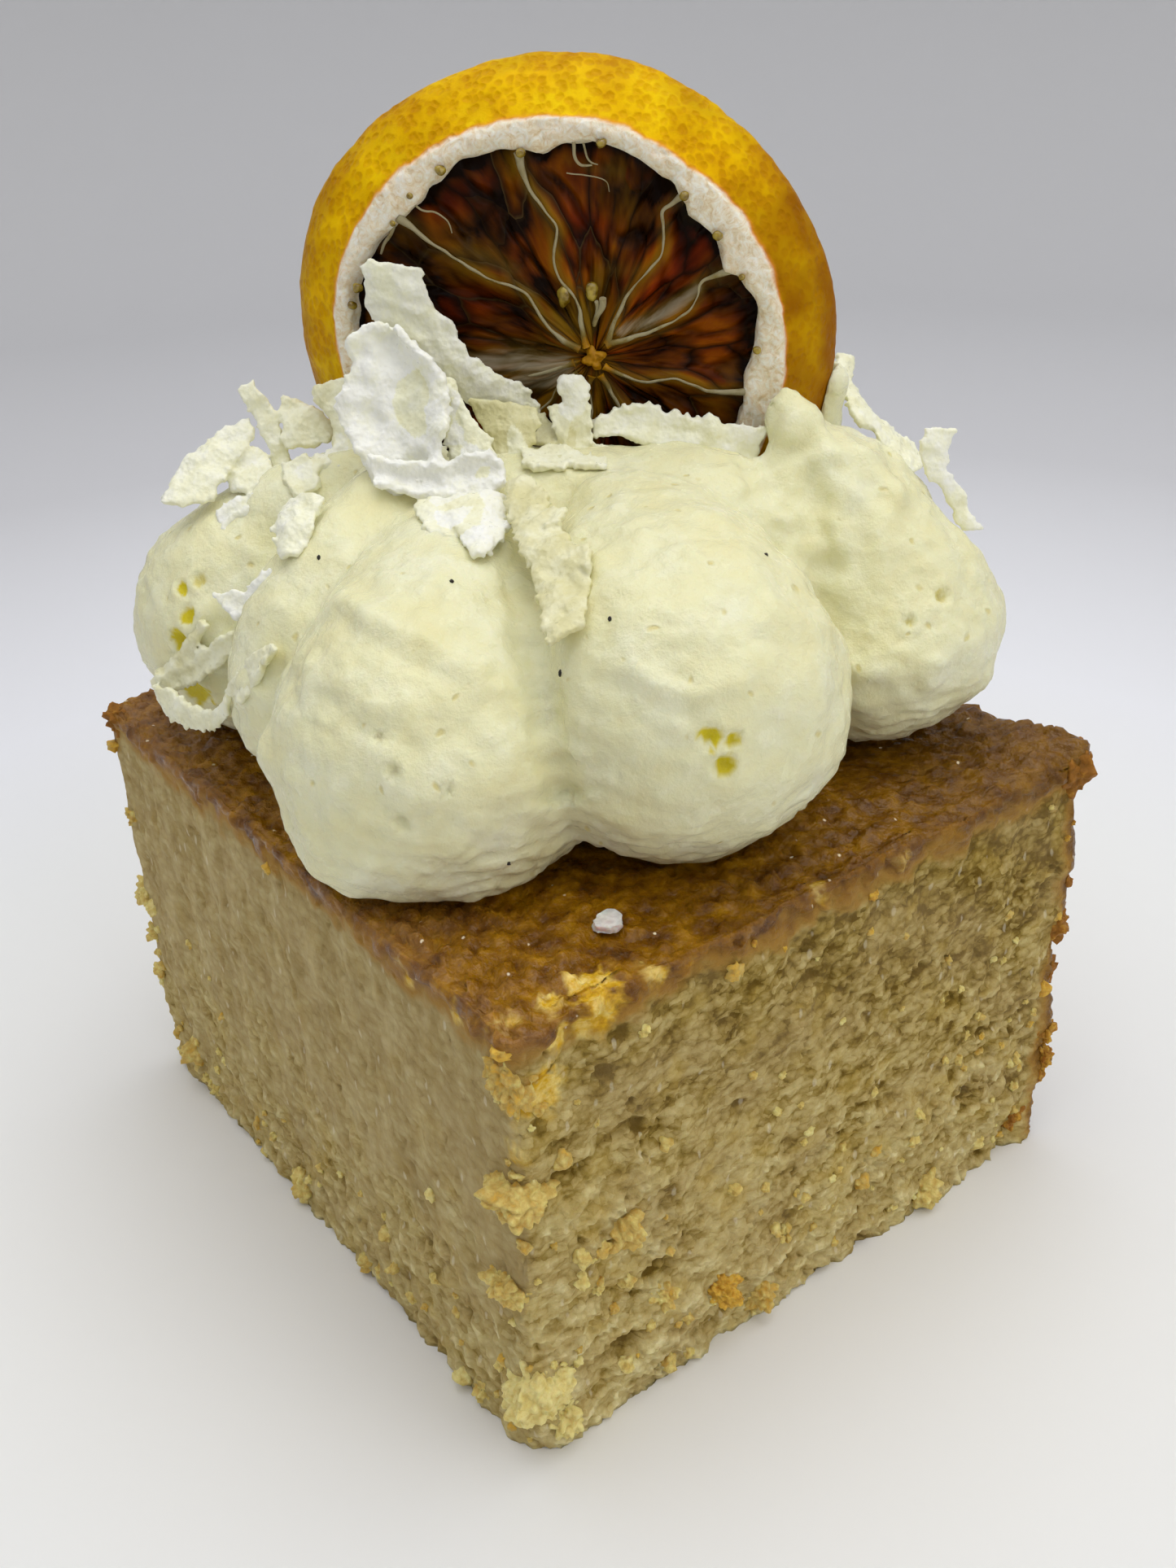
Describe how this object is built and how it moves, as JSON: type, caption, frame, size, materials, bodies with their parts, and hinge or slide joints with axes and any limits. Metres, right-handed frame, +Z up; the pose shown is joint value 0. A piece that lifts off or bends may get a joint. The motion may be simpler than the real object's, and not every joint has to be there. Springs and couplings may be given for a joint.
{
  "type": "lemon coconut slice",
  "caption": "Cut square portion of lemon cake with a browned top, a ring of piped cream dollops, an upright dried lemon slice and shaved coconut.",
  "frame": {"origin": "centre of the cake's flat underside", "axes": "+Z up; +X towards the cake's browned pan side, -X and -Y out of the two knife-cut sides that face the viewer"},
  "size_m": [0.0751, 0.0805, 0.1124],
  "materials": {
    "cake_crumb": "dense moist crumb, browned and slightly glossy on top",
    "cream": "soft satin whipped cream",
    "dried_lemon": "waxy dried peel, pale fibrous pith, dark translucent flesh",
    "coconut": "dry granular shavings"
  },
  "bodies": {
    "root": {"cake": "cake_crumb", "cream": "cream", "lemon_slice": "dried_lemon", "coconut_flake_tall": "coconut", "coconut_flake_curled": "coconut", "coconut_flake_slab": "coconut", "coconut_flake_bar": "coconut"}
  },
  "joints": []
}
